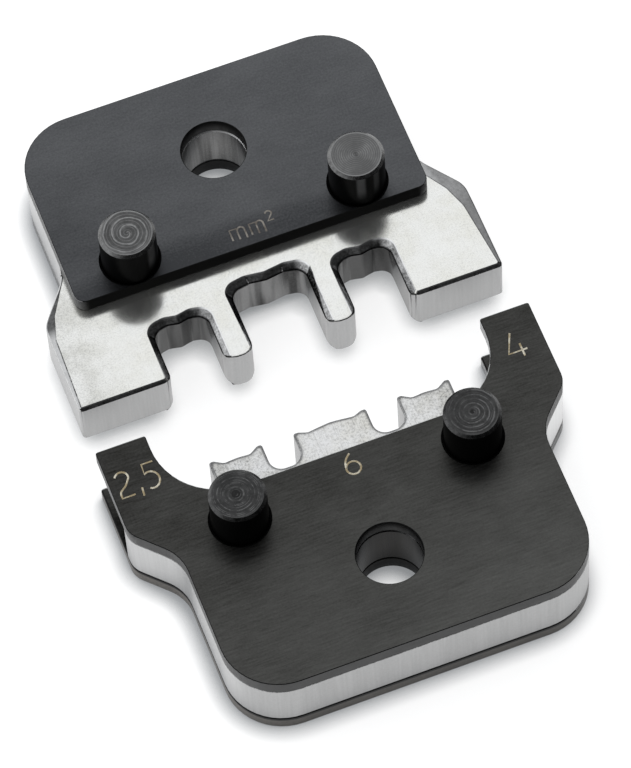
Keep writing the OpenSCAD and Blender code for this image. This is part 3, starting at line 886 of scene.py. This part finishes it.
def strokeTree():
    tree, g, given = newTree("engraved stroke", [
        ("Width", "Float"), ("Rise", "Float"), ("Height", "Float"), ("Ink", "Material")])
    path = g.add("GeometryNodeMeshToCurve", None, {"Mesh": given["Geometry"]})
    ring = g.add("GeometryNodeCurvePrimitiveCircle", None, {"Resolution": 10, "Radius": given["Width"] * 0.5})
    tube = g.add("GeometryNodeCurveToMesh", None, {"Curve": path, "Profile Curve": ring, "Fill Caps": True})
    squeeze = g.joined(1.0, 1.0, given["Rise"] / given["Width"])
    flat = g.add("GeometryNodeTransform", None, {
        "Geometry": tube, "Scale": squeeze, "Translation": g.joined(0.0, 0.0, given["Height"])})
    inked = g.add("GeometryNodeSetMaterial", None, {"Geometry": flat, "Material": given["Ink"]})
    closeTree(g, inked)
    return tree


strokes = strokeTree()
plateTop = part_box("lower_top_plate")[1].z
for name, mark in marks.items():
    points, lines = [], []
    for stroke in mark["strokes"]:
        lines += [(len(points) + i, len(points) + i + 1) for i in range(len(stroke) - 1)]
        points += [(x * mm, y * mm, 0) for x, y in stroke]
    wire = bpy.data.meshes.new(name)
    wire.from_pydata(points, lines, [])
    piece = dressedBy(strokes, name, wire, {
        "Width": mark["width"] * mm, "Rise": 2 * markHeight * mm, "Height": plateTop, "Ink": inks[mark["look"]]})
    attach(piece, mark["body"])
print("numbers engraved")

# White table: plain white to the lamps, and to the camera and to metal a little brighter than the lamps make it.
# Its contact shadow is painted from ambient occlusion: short, and deeper on the left, where the occlusion's
# normal leans towards the dies.
table = {
    "size": 3.0, "drop": 2e-5, "white": grey(205), "glow": 0.77, "shadow": (0.2, 0.21, 0.22),
    "deep": (0.3, 0.31, 0.32), "reach": 2.4, "tilt": (0.2, 0.06, 0.978), "darkest": 0.42, "span": 0.47,
}


def tableMaterial():
    material, g = newMaterial("tableWhite")
    path = g.add("ShaderNodeLightPath")
    seen = g.other(path, "Is Camera Ray").larger(g.other(path, "Is Glossy Ray"))
    seen = seen.larger(g.other(path, "Is Transmission Ray"))
    around = g.other(g.add("ShaderNodeAmbientOcclusion", {"samples": 16}, {
        "Distance": table["reach"] * mm, "Normal": g.joined(*table["tilt"])}), "AO")
    lit = (around - table["darkest"]) / table["span"]
    plain = g.add("ShaderNodeBsdfDiffuse", None, {"Color": g.mixed(lit, table["shadow"], table["white"])})
    glow = g.add("ShaderNodeEmission", None, {
        "Color": g.mixed(lit, table["deep"], (1, 1, 1)), "Strength": seen * table["glow"]})
    both = g.add("ShaderNodeAddShader", None, {0: plain, 1: glow})
    g.add("ShaderNodeOutputMaterial", None, {"Surface": both})
    return material


reach, drop = table["size"] / 2, table["drop"]
tableMesh = bpy.data.meshes.new("table")
corners = [(x * reach, y * reach, -drop) for x, y in ((-1, -1), (1, -1), (1, 1), (-1, 1))]
tableMesh.from_pydata(corners, [], [(0, 1, 2, 3)])
tableMesh.materials.append(tableMaterial())
floor = bpy.data.objects.new("table", tableMesh)
bpy.context.scene.collection.objects.link(floor)

# A light tent: brightest behind and to the left, dark in front, with a pale band along the horizon
tent = {
    "bright": 1.0, "dark": 0.045, "lean": (-0.45, 0.6, 0.66), "edge": (0.0, 0.72),
    "horizon": (0.24, 0.06), "band": 0.3, "tint": (0.97, 0.985, 1.0),
}
world = bpy.data.worlds.new("tent")
bpy.context.scene.world = world
world.use_nodes = True
world.node_tree.nodes.clear()
g = Graph(world.node_tree)
way = g.add("ShaderNodeTexCoord", None, None, "Generated")
behind = g.add("ShaderNodeVectorMath", {"operation": "DOT_PRODUCT"}, {0: way, 1: tent["lean"]}, "Value")
height = g.split(way)[2]
strength = tent["dark"] + (tent["bright"] - tent["dark"]) * behind.step(*tent["edge"])
strength = strength + height.step(*tent["horizon"]) * tent["band"]
light = g.add("ShaderNodeBackground", None, {"Color": (*tent["tint"], 1), "Strength": strength})
g.add("ShaderNodeOutputWorld", None, {"Surface": light})
print("table and tent set")

# The photograph's camera: high, a little to the left of the dies, far away with a long lens. Angles are in degrees,
# lengths in millimetres, and the focal length in pixels of the 768 high picture.
shot = {
    "azimuth": -16.7158, "elevation": 60.596, "roll": -4.5747, "distance": 478.6781,
    "target": (1.2608, 0.6024, 0.0), "focal": 5471.8432, "pictureHeight": 768, "sensor": 36,
}
azimuth, elevation, roll = (math.radians(shot[k]) for k in ("azimuth", "elevation", "roll"))
level = math.cos(elevation)
back = Vector((math.sin(azimuth) * level, -math.cos(azimuth) * level, math.sin(elevation)))
cameraData = bpy.data.cameras.new("camera")
cameraData.sensor_fit = "VERTICAL"
cameraData.sensor_height = shot["sensor"]
cameraData.sensor_width = shot["sensor"]
cameraData.lens = shot["focal"] * shot["sensor"] / shot["pictureHeight"]
cameraData.clip_start, cameraData.clip_end = 0.01, 10
camera = bpy.data.objects.new("camera", cameraData)
bpy.context.scene.collection.objects.link(camera)
camera.location = (Vector(shot["target"]) + back * shot["distance"]) * mm
camera.rotation_mode = "QUATERNION"
camera.rotation_quaternion = Quaternion(back, roll) @ (-back).to_track_quat("-Z", "Y")
bpy.context.scene.camera = camera
bpy.context.scene.view_settings.view_transform = "Standard"
print("camera set")
